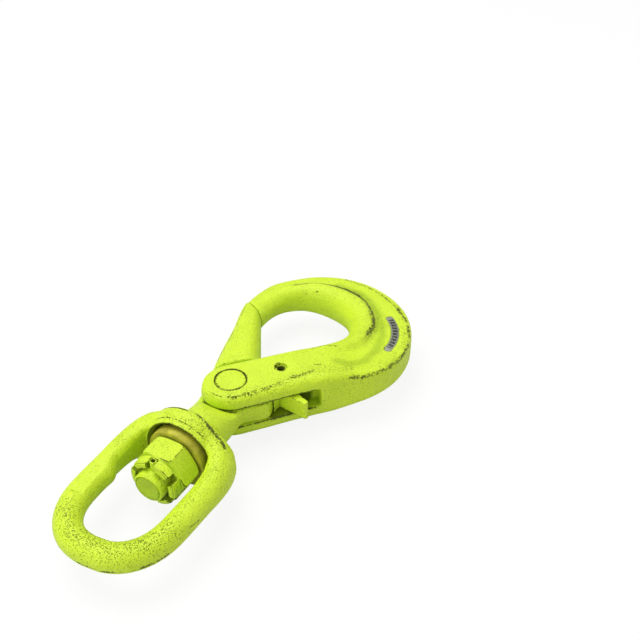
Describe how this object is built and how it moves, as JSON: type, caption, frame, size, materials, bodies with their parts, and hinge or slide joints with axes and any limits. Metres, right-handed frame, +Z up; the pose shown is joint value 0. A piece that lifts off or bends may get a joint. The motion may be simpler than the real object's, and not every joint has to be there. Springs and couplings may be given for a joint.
{
  "type": "swivel self-locking lifting hook",
  "caption": "Painted forged lifting hook with a self-locking gate, a thumb trigger and an oval link that swivels on a ball thrust bearing.",
  "frame": {"origin": "centre of the bounding box in plan, at its lowest point, with the hook lying on its side", "axes": "+X along the load line from the link towards the bowl, +Y towards the gate, +Z up, square to the flat sides of the hook"},
  "size_m": [0.2956, 0.1278, 0.055],
  "materials": {
    "forging_paint": "yellow-green gloss paint over a forged surface",
    "pin_paint": "yellow-green paint, worn at the rims",
    "zinc_steel": "yellow zinc plating",
    "bearing_steel": "polished",
    "brass": "stamped sheet",
    "spring_steel": "drawn wire",
    "label_metal": null
  },
  "bodies": {
    "hook": {"hook_body": "forging_paint", "pivot_pin": "pin_paint", "trigger_pin": "pin_paint", "trigger_spring": "spring_steel", "label_plate": "label_metal"},
    "gate": {"latch_body": "forging_paint", "castle_nut": "forging_paint", "nut_pin": "pin_paint", "race_nut_side": "zinc_steel"},
    "link": {"swivel_link": "forging_paint", "race_link_side": "zinc_steel"},
    "cage": {"ball_cage": "brass", "ball_01": "bearing_steel", "ball_02": "bearing_steel", "ball_03": "bearing_steel", "ball_04": "bearing_steel", "ball_05": "bearing_steel", "ball_06": "bearing_steel", "ball_07": "bearing_steel", "ball_08": "bearing_steel", "ball_09": "bearing_steel", "ball_10": "bearing_steel", "ball_11": "bearing_steel", "ball_12": "bearing_steel"},
    "trigger": {"trigger": "forging_paint"}
  },
  "joints": [
    {"name": "gate_pivot", "type": "hinge", "parent": "hook", "child": "gate", "pos_m": [0.00137, 0.01795, 0.0275], "axis": [0, 0, 1], "range_deg": [0, 32]},
    {"name": "link_swivel", "type": "hinge", "parent": "gate", "child": "link", "pos_m": [-0.04983, 0.01795, 0.0275], "axis": [1, 0, 0], "continuous": true},
    {"name": "cage_roll", "type": "hinge", "parent": "gate", "child": "cage", "pos_m": [-0.04983, 0.01795, 0.0275], "axis": [1, 0, 0], "continuous": true},
    {"name": "trigger_press", "type": "hinge", "parent": "hook", "child": "trigger", "pos_m": [0.02791, -0.00331, 0.0275], "axis": [0, 0, 1], "range_deg": [0, 20], "stiffness_Nm_per_rad": 0.15, "springref_deg": -20.05, "deforming": ["trigger_spring"]}
  ],
  "couplings": [
    {"joint": "cage_roll", "follows": "link_swivel", "ratio": 0.5}
  ]
}
